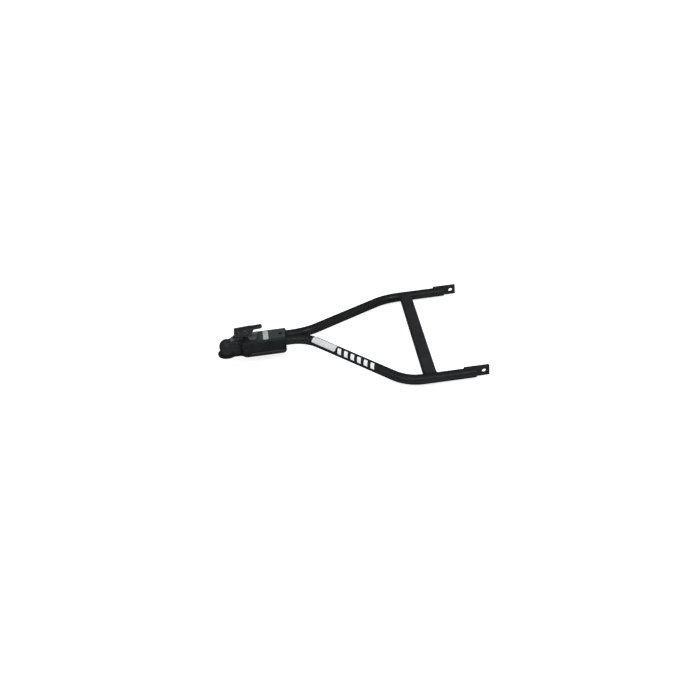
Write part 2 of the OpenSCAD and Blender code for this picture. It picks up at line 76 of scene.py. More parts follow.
MM = 0.001
QUARTER = math.pi / 2
REARWARD = Vector((1.0, 0.0, 0.0))
UP = Vector((0.0, 0.0, 1.0))
FULL: Span = (0.0, 1.0)
NOISE_SPAN: Span = (0.3, 0.7)


class Body(Enum):
    """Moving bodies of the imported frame."""

    FRAME = "frame"
    STEM = "stem"
    JAW = "jaw"
    LEVER = "lever"
    TRIGGER = "trigger"


class Slot(Enum):
    """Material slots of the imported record."""

    PAINT = "black_paint"
    ZINC = "zinc_plate"
    STEEL = "bare_steel"


class Side(Enum):
    """Side of the frame, by the sign of Y."""

    LEFT = -1
    RIGHT = 1

    @property
    def word(self) -> str:
        """Word for the side in the names of pieces."""
        return self.name.lower()


class Shaders:
    """Lays out the shader nodes of one material or of the world."""

    def __init__(self, owner: bpy.types.ID, output: str = "ShaderNodeOutputMaterial") -> None:
        """Empties the owner's nodes and gives it an output.

        Args:
            owner: material or world that holds the nodes.
            output: Blender's name of the output's node type.
        """
        owner.use_nodes = True
        self.owner = owner
        self.tree = owner.node_tree
        self.tree.nodes.clear()
        self.output = self.add(output)

    def add(self, kind: str, **settings: object) -> bpy.types.Node:
        """Adds a node.

        Args:
            kind: Blender's name of the node type.
            settings: properties of the node.
        Returns:
            The new node.
        """
        node = self.tree.nodes.new(kind)
        for key, value in settings.items():
            setattr(node, key, value)
        return node

    def join(self, source: Socket, target: Socket) -> None:
        """Links one socket to another."""
        self.tree.links.new(source, target)

    def close(self, shader: Socket) -> None:
        """Links the last shader to the output."""
        self.join(shader, self.output.inputs["Surface"])

    def place(self, scale: Triple = (1.0, 1.0, 1.0), turn: Triple = (0.0, 0.0, 0.0)) -> Socket:
        """Gives the piece's own coordinates, stretched and turned.

        Args:
            scale: stretch along each axis.
            turn: turn about each axis, in degrees.
        Returns:
            The vector socket to read.
        """
        mapping = self.add("ShaderNodeMapping")
        mapping.inputs["Scale"].default_value = scale
        mapping.inputs["Rotation"].default_value = [math.radians(a) for a in turn]
        self.join(self.add("ShaderNodeTexCoord").outputs["Object"], mapping.inputs["Vector"])
        return mapping.outputs["Vector"]

    def parts(self, vector: Socket) -> Mapping[str, Socket]:
        """Splits a vector.

        Args:
            vector: socket to read.
        Returns:
            The sockets X, Y and Z.
        """
        node = self.add("ShaderNodeSeparateXYZ")
        self.join(vector, node.inputs[0])
        return node.outputs

    def worked(self, operation: str, *values: Socket) -> Socket:
        """Works one value out from others.

        Args:
            operation: Blender's name of the operation.
            values: sockets to read.
        Returns:
            The value's socket.
        """
        node = self.add("ShaderNodeMath", operation=operation)
        for value, entry in zip(values, node.inputs):
            self.join(value, entry)
        return node.outputs[0]

    def seen(self) -> Socket:
        """Gives 1 for rays that show the backdrop, straight, in a reflection or through glass.

        Returns:
            The value's socket.
        """
        rays = self.add("ShaderNodeLightPath").outputs
        reflected = self.worked("MAXIMUM", rays["Is Camera Ray"], rays["Is Glossy Ray"])
        return self.worked("MAXIMUM", reflected, rays["Is Transmission Ray"])

    def noise(self, where: Socket, scale: float, detail: float = 3.0, rough: float = 0.55) -> Socket:
        """Adds a noise pattern.

        Args:
            where: vector socket that places it.
            scale: grains per metre.
            detail: number of finer layers.
            rough: strength of the finer layers.
        Returns:
            The pattern's value socket.
        """
        node = self.add("ShaderNodeTexNoise")
        node.inputs["Scale"].default_value = scale
        node.inputs["Detail"].default_value = detail
        node.inputs["Roughness"].default_value = rough
        self.join(where, node.inputs["Vector"])
        return node.outputs["Fac"]

    def cells(self, where: Socket, scale: float) -> Socket:
        """Adds a cell pattern.

        Args:
            where: vector socket that places it.
            scale: cells per metre.
        Returns:
            The socket of the distance from the cell's middle.
        """
        node = self.add("ShaderNodeTexVoronoi")
        node.inputs["Scale"].default_value = scale
        self.join(where, node.inputs["Vector"])
        return node.outputs["Distance"]

    def ranged(self, value: Socket, source: Span, target: Span) -> Socket:
        """Maps a value from one range to another.

        Args:
            value: socket to read.
            source: range that is read.
            target: range that is given.
        Returns:
            The mapped value's socket.
        """
        node = self.add("ShaderNodeMapRange")
        node.inputs["From Min"].default_value, node.inputs["From Max"].default_value = source
        node.inputs["To Min"].default_value, node.inputs["To Max"].default_value = target
        self.join(value, node.inputs["Value"])
        return node.outputs["Result"]

    def mixed(self, factor: Socket, low: object, high: object) -> Socket:
        """Mixes two colours.

        Args:
            factor: socket of the share of the second colour.
            low: colour or socket at 0.
            high: colour or socket at 1.
        Returns:
            The colour's socket.
        """
        node = self.add("ShaderNodeMix", data_type="RGBA")
        self.join(factor, node.inputs[0])
        for socket, value in ((node.inputs[6], low), (node.inputs[7], high)):
            if isinstance(value, tuple):
                socket.default_value = (*value, 1.0)
            else:
                self.join(value, socket)
        return node.outputs[2]

    def bumped(self, height: Socket, depth: float, strength: float,
               under: Optional[Socket] = None) -> Socket:
        """Turns a height into a bump.

        Args:
            height: socket of the height, from 0 to 1.
            depth: height of the bump in metres.
            strength: share of the bump that shows.
            under: normal of a coarser bump under this one.
        Returns:
            The normal's socket.
        """
        node = self.add("ShaderNodeBump")
        node.inputs["Strength"].default_value = strength
        node.inputs["Distance"].default_value = depth
        self.join(height, node.inputs["Height"])
        if under is not None:
            self.join(under, node.inputs["Normal"])
        return node.outputs["Normal"]

    def surface(self, colour: Socket, roughness: Socket, normal: Socket, metallic: float, specular: float,
                edge: float = 1.0) -> Paint:
        """Closes the material with one surface shader.

        Args:
            colour: socket of the base colour.
            roughness: socket of the roughness.
            normal: socket of the bumped normal.
            metallic: share of bare metal.
            specular: level of the clear reflection.
            edge: share of the metal's reflection that is left at a low angle.
        Returns:
            The finished material.
        """
        shader = self.add("ShaderNodeBsdfPrincipled")
        shader.inputs["Metallic"].default_value = metallic
        shader.inputs["Specular IOR Level"].default_value = specular
        shader.inputs["Specular Tint"].default_value = (edge, edge, edge, 1.0)
        self.join(colour, shader.inputs["Base Color"])
        self.join(roughness, shader.inputs["Roughness"])
        self.join(normal, shader.inputs["Normal"])
        self.close(shader.outputs["BSDF"])
        return self.owner


@dataclass(frozen=True)
class PowderCoat:
    """Black powder coat: fine orange peel, a little uneven gloss and pale scuffs."""

    name: str
    deep: Colour
    pale: Colour
    gloss: Span
    lustre: float
    edge: float = 0.35
    cloud_grain: float = 22.0
    gloss_grain: float = 130.0
    peel_size: float = 1.1 * MM
    peel_depth: float = 0.05 * MM
    peel_show: float = 0.35
    dent_grain: float = 60.0
    dent_depth: float = 0.4 * MM
    dent_show: float = 0.10
    scuff: Colour = (0.035, 0.036, 0.038)
    scuff_share: float = 0.05
    scuff_grain: float = 420.0
    scuff_onset: float = 0.68
    scuff_fade: float = 0.09
    scuff_show: float = 0.5

    def material(self) -> Paint:
        """Builds the paint.

        Returns:
            The material.
        """
        lay = Shaders(bpy.data.materials.new(self.name))
        where = lay.place()
        cloud = lay.ranged(lay.noise(where, self.cloud_grain, detail=4.0), NOISE_SPAN, FULL)
        body = lay.mixed(cloud, self.deep, self.pale)
        marks = lay.noise(where, self.scuff_grain, detail=5.0, rough=0.7)
        onset = self.scuff_onset - self.scuff_share
        scuffs = lay.ranged(marks, (onset, onset + self.scuff_fade), (0.0, self.scuff_show))
        colour = lay.mixed(scuffs, self.with_painted_light(lay, body), self.scuff)
        roughness = lay.ranged(lay.noise(where, self.gloss_grain, detail=4.0), NOISE_SPAN, self.gloss)
        dents = lay.bumped(lay.noise(where, self.dent_grain, detail=2.0), self.dent_depth, self.dent_show)
        grain = lay.noise(where, 1.0 / self.peel_size, detail=2.0)
        peel = lay.bumped(grain, self.peel_depth, self.peel_show, dents)
        return lay.surface(colour, roughness, peel, self.lustre, 0.0, self.edge)

    def with_painted_light(self, lay: Shaders, body: Socket) -> Socket:
        """Gives the paint's own colour, with no painted light."""
        return body


@dataclass(frozen=True)
class TopLitCoat(PowderCoat):
    """Powder coat with painted light: a paler grey-green painted top light on faces that look up, and a
    paler front end.
    """

    film: Colour = (0.048, 0.059, 0.06)
    film_facing: Span = (0.6, 0.97)
    film_from: Span = (0.07, 0.1)
    film_ahead: float = 0.2
    film_edge: Span = (0.026, 0.036)
    film_outside: float = 0.3
    nose: Colour = (0.0215, 0.0238, 0.0238)
    nose_from: Span = (0.06, 0.03)
    nose_show: float = 0.8
    nose_grain: float = 150.0
    nose_wander: Span = (-0.005, 0.005)

    def with_painted_light(self, lay: Shaders, body: Socket) -> Socket:
        """Mixes the paler front end and the painted top light into the paint.

        Args:
            lay: nodes of the material.
            body: colour of the fresh paint.
        Returns:
            The colour's socket.
        """
        coordinates = lay.add("ShaderNodeTexCoord").outputs
        station = lay.parts(coordinates["Object"])
        # Painted top light: faces that look up are painted paler, less so in front and towards the sides.
        upward = lay.ranged(lay.parts(coordinates["Normal"])["Z"], self.film_facing, FULL)
        behind = lay.ranged(station["X"], self.film_from, (self.film_ahead, 1.0))
        inside = lay.ranged(lay.worked("ABSOLUTE", station["Y"]), self.film_edge, (1.0, self.film_outside))
        film = lay.worked("MULTIPLY", lay.worked("MULTIPLY", upward, behind), inside)
        # Paler front end with a ragged edge; on the coupler it is painted light on the ball dome.
        patches = lay.noise(lay.place(), self.nose_grain, detail=4.0)
        ragged = lay.worked("ADD", station["X"], lay.ranged(patches, NOISE_SPAN, self.nose_wander))
        paler_front = lay.mixed(lay.ranged(ragged, self.nose_from, (0.0, self.nose_show)), body, self.nose)
        return lay.mixed(film, paler_front, self.film)


@dataclass(frozen=True)
class PinHighlightCoat(PowderCoat):
    """Powder coat with a painted highlight: a paler ring round pins that run along Y, made ragged by noise.
    """

    pins: Tuple[Span, ...] = ((0.05, 0.0605), (0.082, 0.06))
    rings: Tuple[Span, ...] = ((0.0058, 0.0092), (0.0042, 0.0076))
    ring_highlight: Colour = (0.15, 0.154, 0.156)
    ring_grain: float = 330.0
    ring_noise: Span = (0.32, 0.6)
    ring_show: Span = (0.25, 1.0)

    def with_painted_light(self, lay: Shaders, body: Socket) -> Socket:
        """Mixes the painted highlight rings into the paint.

        Args:
            lay: nodes of the material.
            body: colour of the fresh paint.
        Returns:
            The colour's socket.
        """
        for (x, z), ring in zip(self.pins, self.rings):
            distance = lay.add("ShaderNodeVectorMath", operation="DISTANCE")
            lay.join(lay.place(scale=(1.0, 0.0, 1.0)), distance.inputs[0])
            distance.inputs[1].default_value = (x, 0.0, z)
            near = lay.ranged(distance.outputs["Value"], ring, (1.0, 0.0))
            # Noise breaks up each painted highlight ring.
            patches = lay.noise(lay.place(), self.ring_grain, detail=4.0, rough=0.65)
            share = lay.worked("MULTIPLY", near, lay.ranged(patches, self.ring_noise, self.ring_show))
            body = lay.mixed(share, body, self.ring_highlight)
        return body


@dataclass(frozen=True)
class PlatedSteel:
    """Plated or bare steel: fine grain, cloudy tone and uneven gloss."""

    name: str
    bright: Colour
    dull: Colour
    gloss: Span
    metallic: float
    specular: float = 0.5
    tone_grain: float = 90.0
    tone_noise: Span = (0.32, 0.68)
    gloss_grain: float = 240.0
    grain_size: float = 0.5 * MM
    grain_depth: float = 0.04 * MM
    grain_show: float = 0.3

    def material(self) -> Paint:
        """Builds the metal.

        Returns:
            The material.
        """
        lay = Shaders(bpy.data.materials.new(self.name))
        where = lay.place()
        tone = lay.ranged(lay.noise(where, self.tone_grain, detail=5.0, rough=0.65), self.tone_noise, FULL)
        colour = lay.mixed(tone, self.bright, self.dull)
        roughness = lay.ranged(lay.noise(where, self.gloss_grain, detail=4.0), NOISE_SPAN, self.gloss)
        normal = lay.bumped(lay.noise(where, 1.0 / self.grain_size), self.grain_depth, self.grain_show)
        return lay.surface(colour, roughness, normal, self.metallic, self.specular)


@dataclass(frozen=True)
class LabelFoil:
    """Plain label stock: a brushed gloss, soft stains, a fine weave and a slightly uneven face."""

    name: str
    tone: Colour
    stain: Colour
    gloss: Span
    metallic: float
    specular: float = 0.4
    brush_stretch: Triple = (1.0, 14.0, 14.0)
    brush_turn: Triple = (0.0, 0.0, 39.0)
    brush_grain: float = 90.0
    stain_grain: float = 70.0
    stain_noise: Span = (0.35, 0.75)
    stain_show: float = 0.8
    weave_size: float = 0.8 * MM
    weave_depth: float = 0.05 * MM
    weave_show: float = 0.25
    sag_grain: float = 110.0
    sag_depth: float = 0.3 * MM
    sag_show: float = 0.15

    def material(self) -> Paint:
        """Builds the label stock.

        Returns:
            The material.
        """
        lay = Shaders(bpy.data.materials.new(self.name))
        where = lay.place()
        along = lay.place(self.brush_stretch, self.brush_turn)
        brushed = lay.noise(along, self.brush_grain, detail=4.0, rough=0.7)
        haze = lay.noise(where, self.stain_grain, detail=4.0, rough=0.6)
        stained = lay.ranged(haze, self.stain_noise, (0.0, self.stain_show))
        colour = lay.mixed(stained, self.tone, self.stain)
        roughness = lay.ranged(brushed, NOISE_SPAN, self.gloss)
        sag = lay.bumped(lay.noise(where, self.sag_grain, detail=2.0), self.sag_depth, self.sag_show)
        normal = lay.bumped(lay.cells(where, 1.0 / self.weave_size), self.weave_depth, self.weave_show, sag)
        return lay.surface(colour, roughness, normal, self.metallic, self.specular)


class Finishes:
    """Every finish of the tow bar, made once."""

    def __init__(self) -> None:
        """Builds the materials."""
        frame_coat = PowderCoat(
            "frame_powder_coat", (0.0144, 0.0149, 0.0157), (0.0195, 0.02, 0.0209), (0.22, 0.32), 0.53)
        self.frame_paint = frame_coat.material()
        self.bar_paint = PowderCoat(
            "bar_powder_coat", (0.021, 0.0216, 0.0225), (0.028, 0.0288, 0.03), (0.55, 0.66), 0.1).material()
        # The coupler's coat carries painted light: a paler top on faces that look up and a paler front over
        # the ball dome.
        coupler_coat = TopLitCoat(
            "coupler_powder_coat", (0.0104, 0.0116, 0.0119), (0.0153, 0.0167, 0.017), (0.3, 0.42), 0.42,
            peel_size=1.6 * MM, peel_depth=0.07 * MM)
        self.coupler_paint = coupler_coat.material()
        # The rim's coat paints its top light paler and across the whole width: a painted highlight band on
        # the rim's ledge and hollow roundings.
        self.rim_paint = replace(
            coupler_coat, name="coupler_rim_coat", film=(0.062, 0.07, 0.071),
            film_edge=(0.06, 0.07)).material()
        latch_look = ((0.022, 0.024, 0.0243), (0.031, 0.0336, 0.034), (0.28, 0.4), 0.46)
        # The latch's coat carries the painted highlight rings round the lever's pins.
        self.latch_paint = PinHighlightCoat(
            "latch_powder_coat", *latch_look, peel_size=1.4 * MM, peel_depth=0.06 * MM).material()
        # On the cam plate the painted top light starts behind the plate, so only the pale front end shows.
        self.plate_paint = TopLitCoat(
            "plate_powder_coat", *latch_look, film_ahead=0.0, film_from=(0.2, 0.3),
            nose=(0.17, 0.174, 0.176), nose_from=(0.033, 0.025)).material()
        # Coat of the rounded edges: partly wear, with paler scuffs, and partly a painted edge highlight,
        # paler than the paint beside it.
        self.edge_wear_and_highlight = PowderCoat(
            "edge_wear_and_highlight_coat", (0.022, 0.023, 0.0235), (0.034, 0.0355, 0.036), (0.28, 0.4), 0.5,
            scuff=(0.09, 0.092, 0.095), scuff_share=0.12).material()
        self.weld_paint = replace(
            frame_coat, name="painted_weld", pale=(0.0214, 0.022, 0.0228), gloss=(0.24, 0.34), lustre=0.5,
            peel_size=0.8 * MM, peel_depth=0.06 * MM).material()
        self.zinc = PlatedSteel(
            "zinc_plating", (0.50, 0.51, 0.53), (0.36, 0.37, 0.39), (0.3, 0.46), 1.0).material()
        self.dark_plate = PlatedSteel(
            "dark_plating", (0.07, 0.071, 0.075), (0.048, 0.049, 0.052), (0.4, 0.55), 0.5).material()
        self.pin_steel = PlatedSteel(
            "pin_steel", (0.009, 0.0092, 0.0095), (0.006, 0.0062, 0.0064), (0.5, 0.62), 0.2,
            specular=0.1).material()
        self.forged = PlatedSteel(
            "forged_steel", (0.15, 0.145, 0.14), (0.085, 0.083, 0.082), (0.45, 0.62), 0.9,
            grain_size=1.4 * MM).material()
        self.spring_wire = PlatedSteel(
            "spring_wire", (0.20, 0.205, 0.21), (0.12, 0.122, 0.125), (0.3, 0.42), 1.0).material()
        self.silver_label = LabelFoil(
            "tube_label_silver", (0.66, 0.675, 0.68), (0.52, 0.535, 0.54), (0.42, 0.58), 0.1).material()
        self.grey_label = LabelFoil(
            "coupler_label_silver", (0.44, 0.455, 0.455), (0.33, 0.345, 0.345), (0.42, 0.58),
            0.1).material()
        self.white_mark = LabelFoil(
            "white_reflective_mark", (0.86, 0.865, 0.87), (0.78, 0.785, 0.79), (0.45, 0.6), 0.0,
            weave_size=1.1 * MM).material()


class Bench:
    """Hand tools that every sub-assembly uses: selection, edit mode, modifiers and finishing."""

    MERGE = 0.002 * MM
    FLAT_ANGLE = 0.4
    SHADE_ANGLE = 38.0
    NORMAL_WEIGHT = 60

    @staticmethod
    def clear() -> None:
        """Leaves edit mode and deselects everything."""
        active = bpy.context.view_layer.objects.active
        if active is not None and active.mode != "OBJECT":
            bpy.ops.object.mode_set(mode="OBJECT")
        bpy.ops.object.select_all(action="DESELECT")

    @staticmethod
    def hold(obj: Piece) -> None:
        """Makes one object the only selected one.

        Args:
            obj: object to hold.
        """
        Bench.clear()
        bpy.context.view_layer.objects.active = obj
        obj.select_set(True)

    @staticmethod
    def edit(obj: Piece) -> None:
        """Opens one object in edit mode with all of it selected.

        Args:
            obj: object to open.
        """
        Bench.hold(obj)
        bpy.ops.object.mode_set(mode="EDIT")
        bpy.ops.mesh.select_all(action="SELECT")

    @staticmethod
    def named(name: str) -> Piece:
        """Names the primitive that was added last.

        Args:
            name: name of the piece.
        Returns:
            The primitive.
        """
        obj = bpy.context.object
        obj.name = name
        return obj

    @staticmethod
    def apply(obj: Piece, kind: str, **settings: object) -> None:
        """Adds a modifier and applies it.

        Args:
            obj: object to change.
            kind: Blender's name of the modifier type.
            settings: properties of the modifier.
        """
        Bench.hold(obj)
        modifier = obj.modifiers.new(kind, kind)
        for key, value in settings.items():
            setattr(modifier, key, value)
        bpy.ops.object.modifier_apply(modifier=modifier.name)

    @staticmethod
    def seat(obj: Piece) -> None:
        """Puts an object's place, turn and size into its mesh."""
        Bench.hold(obj)
        bpy.ops.object.transform_apply(location=True, rotation=True, scale=True)

    @staticmethod
    def smooth(obj: Piece, angle: float) -> None:
        """Shades an object smooth up to an angle in degrees."""
        Bench.hold(obj)
        bpy.ops.object.shade_smooth_by_angle(angle=math.radians(angle))

    @staticmethod
    def copy_node(node: str, name: str) -> Piece:
        """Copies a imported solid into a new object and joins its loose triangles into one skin.

        Args:
            node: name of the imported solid.
            name: name of the new piece.
        Returns:
            The new object.
        """
        obj = bpy.data.objects.new(name, frame["nodes"][node].data.copy())
        obj.data.name = name
        bpy.context.scene.collection.objects.link(obj)
        Bench.edit(obj)
        bpy.ops.mesh.customdata_custom_splitnormals_clear()
        bpy.ops.mesh.remove_doubles(threshold=Bench.MERGE)
        bpy.ops.mesh.dissolve_limited(angle_limit=math.radians(Bench.FLAT_ANGLE))
        bpy.ops.object.mode_set(mode="OBJECT")
        return obj

    @staticmethod
    def round_edges(obj: Piece, width: float, segments: int, angle: float, slot: int = -1) -> None:
        """Rounds the sharp edges of a piece and evens its shading.

        Args:
            obj: piece to round.
            width: width of the rounding in metres.
            segments: steps across the rounding.
            angle: least angle of an edge that is rounded, in degrees.
            slot: index of the material that the rounded edges take.
        """
        Bench.apply(obj, "BEVEL", width=width, segments=segments, limit_method="ANGLE",
                    angle_limit=math.radians(angle), use_clamp_overlap=True, material=slot)
        Bench.smooth(obj, Bench.SHADE_ANGLE)
        Bench.apply(obj, "WEIGHTED_NORMAL", keep_sharp=True, weight=Bench.NORMAL_WEIGHT)

    @staticmethod
    def dress(obj: Piece, *materials: Paint) -> None:
        """Gives a piece its materials.

        Args:
            obj: piece to dress.
            materials: materials in slot order.
        """
        obj.data.materials.clear()
        for material in materials:
            obj.data.materials.append(material)

    @staticmethod
    def hand_over(obj: Piece, body: Body, slot: Optional[Slot] = None,
                  stands_for: Sequence[str] = ()) -> Piece:
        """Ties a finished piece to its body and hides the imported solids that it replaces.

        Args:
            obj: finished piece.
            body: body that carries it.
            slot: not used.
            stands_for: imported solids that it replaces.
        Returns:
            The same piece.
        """
        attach(obj, body.value)
        if stands_for:
            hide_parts(*stands_for)
        return obj


@dataclass(frozen=True)
class RoundedCopy:
    """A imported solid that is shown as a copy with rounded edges."""

    node: str
    body: Body
    slot: Slot
    edge: float
    segments: int = 2
    angle: float = 40.0
    name: str = ""

    def build(self, finish: Paint, edge_coat: Optional[Paint] = None) -> Piece:
        """Copies the solid, rounds its edges and dresses it.

        Args:
            finish: main material.
            edge_coat: material of the rounded edges, where it differs.
        Returns:
            The piece.
        """
        obj = Bench.copy_node(self.node, self.name or f"{self.node}_skin")
        Bench.dress(obj, finish, *([edge_coat] if edge_coat else []))
        Bench.round_edges(obj, self.edge, self.segments, self.angle, 1 if edge_coat else -1)
        return Bench.hand_over(obj, self.body, self.slot, [self.node])


@dataclass
class WeldBead:
    """One run of weld metal, laid as overlapping drops along a line."""

    name: str
    line: List[Vector]
    radius: float
    pitch: float
    drop_scale: Triple = (0.6, 1.0, 0.9)
    drop_segments: int = 14
    drop_rings: int = 8
    ripples: Tuple[Span, ...] = ((0.07, 2.4), (0.05, 0.9))
    voxels: float = 4.5
    melt: float = 0.5
    melt_rounds: int = 2

    def drops(self) -> List[Tuple[Vector, Vector]]:
        """Spaces the drops evenly along the line.

        Returns:
            The place and the direction of each drop.
        """
        found: List[Tuple[Vector, Vector]] = []
        spare = 0.0
        for a, b in zip(self.line, self.line[1:]):
            step = b - a
            at = spare
            while at <= step.length:
                found.append((a + step * (at / step.length), step.normalized()))
                at += self.pitch
            spare = at - step.length
        return found

    def build(self, paint: Paint) -> Piece:
        """Lays the drops and melts them into one bead.

        Args:
            paint: material of the bead.
        Returns:
            The bead.
        """
        Bench.clear()
        for i, (place, along) in enumerate(self.drops()):
            swell = sum((height * math.sin(i * rate) for height, rate in self.ripples), 1.0)
            bpy.ops.mesh.primitive_uv_sphere_add(
                segments=self.drop_segments, ring_count=self.drop_rings, radius=self.radius * swell,
                location=place, rotation=along.to_track_quat("X", "Z").to_euler(), scale=self.drop_scale)
            if i == 0:
                obj = Bench.named(self.name)
                bpy.ops.object.mode_set(mode="EDIT")
        bpy.ops.object.mode_set(mode="OBJECT")
        Bench.seat(obj)
        voxel = self.radius / self.voxels
        Bench.apply(obj, "REMESH", mode="VOXEL", voxel_size=voxel, use_smooth_shade=True)
        Bench.apply(obj, "SMOOTH", factor=self.melt, iterations=self.melt_rounds)
        Bench.dress(obj, paint)
        return Bench.hand_over(obj, Body.FRAME, Slot.PAINT)


@dataclass(frozen=True)
class LabelPatch:
    """A thin sheet with rounded corners, pressed onto the surface under it."""

    name: str
    length: float
    width: float
    corner: float
    cells: Tuple[int, int]
    slant: float = 0.0
    thickness: float = 0.18 * MM
    glue: float = 0.05 * MM
    lift: float = 50 * MM
    shade_angle: float = 40.0

    def sheet(self) -> Piece:
        """Cuts the flat sheet.

        Returns:
            The sheet, centred on the origin and facing up.
        """
        Bench.clear()
        columns, rows = self.cells
        bpy.ops.mesh.primitive_grid_add(x_subdivisions=columns, y_subdivisions=rows, size=1.0)
        obj = Bench.named(self.name)
        straight_x = self.length / 2 - self.corner
        straight_y = self.width / 2 - self.corner
        for vertex in obj.data.vertices:
            x, y = vertex.co.x * self.length, vertex.co.y * self.width
            dx, dy = abs(x) - straight_x, abs(y) - straight_y
            if dx > 0 and dy > 0:
                shrink = max(dx, dy) / math.hypot(dx, dy)
                x = math.copysign(straight_x + dx * shrink, x)
                y = math.copysign(straight_y + dy * shrink, y)
            vertex.co = (x + self.slant * y, y, 0.0)
        return obj

    def press(self, target: Piece, place: Matrix, finish: Paint) -> Piece:
        """Holds the sheet above a piece and presses it on.

        Args:
            target: piece that carries the sheet.
            place: place of the sheet, with Z away from the piece.
            finish: material of the sheet.
        Returns:
            The pressed sheet.
        """
        obj = self.sheet()
        obj.matrix_world = place @ Matrix.Translation((0.0, 0.0, self.lift))
        bpy.context.view_layer.update()
        Bench.apply(obj, "SHRINKWRAP", target=target, wrap_method="PROJECT", use_project_z=True,
                    use_negative_direction=True, use_positive_direction=False, offset=self.glue)
        Bench.apply(obj, "SOLIDIFY", thickness=self.thickness, offset=1.0)
        Bench.seat(obj)
        Bench.smooth(obj, self.shade_angle)
        Bench.dress(obj, finish)
        return obj


@dataclass(frozen=True)
class TubeStock:
    """Sizes of the leg tubes that other pieces share; front and leg give a tube's (Y, Z) on the right."""

    od: float = 38.1 * MM
    wall: float = 3.2 * MM
    front: Span = (19.3 * MM, 5.0 * MM)
    leg: Span = (304.8 * MM, -58.5 * MM)
    end_x: float = 912 * MM
    lug_x: float = 868 * MM
    lug_t: float = 9.5 * MM

    def reach(self, offset: float, spare: float = 0.0) -> float:
        """Distance from a tube's axis to its surface, grown by spare, at an offset from the axis."""
        return math.sqrt((self.od / 2 + spare) ** 2 - offset ** 2)


STOCK = TubeStock()


